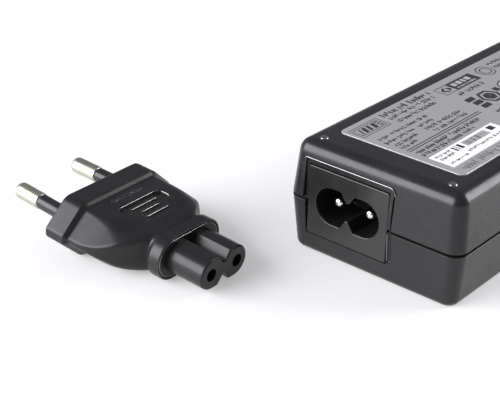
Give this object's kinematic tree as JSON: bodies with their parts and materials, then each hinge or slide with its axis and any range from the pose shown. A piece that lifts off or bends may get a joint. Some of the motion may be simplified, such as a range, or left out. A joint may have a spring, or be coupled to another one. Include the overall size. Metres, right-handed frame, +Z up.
{
  "type": "laptop power adapter",
  "caption": "Black brick-shaped laptop power adapter with a figure-eight mains inlet in one end and a loose two-pin wall-plug piece that pushes into it.",
  "frame": {"origin": "centre of the brick's underside", "axes": "+X along the brick's length away from its mains inlet, +Y across the brick towards the loose plug piece, +Z up"},
  "size_m": [0.1502, 0.1, 0.0279],
  "materials": {
    "case_plastic": "satin",
    "label_film": "satin",
    "sticker_paper": "matte",
    "inlet_plastic": "satin",
    "contact_nickel": "polished",
    "wire_brown": "satin",
    "wire_blue": "satin",
    "gland_rubber": "matte",
    "board_green": "satin",
    "insulation_film": "matte",
    "shield_copper": "satin",
    "sheet_aluminium": "satin",
    "pad_silicone": "matte",
    "fuse_body": "satin",
    "varistor_coat": "gloss",
    "thermistor_coat": "satin",
    "film_cap_yellow": "satin",
    "ferrite_green": "satin",
    "magnet_wire": "gloss",
    "black_epoxy": "matte",
    "can_sleeve": "satin",
    "screw_steel": "satin",
    "ferrite_dark": "matte",
    "bobbin_nylon": "matte",
    "winding_tape": "gloss",
    "y_cap_coat": "gloss",
    "opto_white": "matte",
    "cap_blue": "satin",
    "plug_plastic": "satin",
    "nose_plastic": "satin",
    "carrier_plastic": "matte",
    "pin_nickel": "polished",
    "sleeve_plastic": "gloss",
    "contact_brass": "satin"
  },
  "bodies": {
    "adapter": {"case_lower": "case_plastic", "case_upper": "case_plastic", "rating_label": "label_film", "serial_sticker": "sticker_paper", "inlet_housing": "inlet_plastic", "inlet_pin_line": "contact_nickel", "inlet_pin_neutral": "contact_nickel", "inlet_lead_line": "wire_brown", "inlet_lead_neutral": "wire_blue", "cable_gland": "gland_rubber", "circuit_board": "board_green", "insulation_sheet": "insulation_film", "emi_shield": "shield_copper", "heat_spreader": "sheet_aluminium", "thermal_pads": "pad_silicone", "fuse": "fuse_body", "varistor": "varistor_coat", "inrush_thermistor": "thermistor_coat", "x_capacitor": "film_cap_yellow", "choke_core": "ferrite_green", "choke_windings": "magnet_wire", "bridge_rectifier": "black_epoxy", "bulk_capacitor": "can_sleeve", "primary_heatsink": "sheet_aluminium", "switching_transistor": "black_epoxy", "heatsink_screws": "screw_steel", "transformer_core": "ferrite_dark", "transformer_bobbin": "bobbin_nylon", "transformer_windings": "winding_tape", "y_capacitor": "y_cap_coat", "optocoupler": "opto_white", "control_chip": "black_epoxy", "secondary_heatsink": "sheet_aluminium", "output_rectifier": "black_epoxy", "output_capacitors": "cap_blue", "output_choke": "ferrite_dark"},
    "plug": {"plug_body": "plug_plastic", "connector_nose": "nose_plastic", "pin_carrier": "carrier_plastic", "plug_pin_line": "pin_nickel", "plug_pin_neutral": "pin_nickel", "pin_sleeve_line": "sleeve_plastic", "pin_sleeve_neutral": "sleeve_plastic", "socket_contact_line": "contact_brass", "socket_contact_neutral": "contact_brass", "contact_link_line": "contact_brass", "contact_link_neutral": "contact_brass"}
  },
  "joints": [
    {"name": "plug_lift", "type": "slide", "parent": "adapter", "child": "plug", "axis": [0, 0, 1], "range_m": [0, 0.06]}
  ]
}
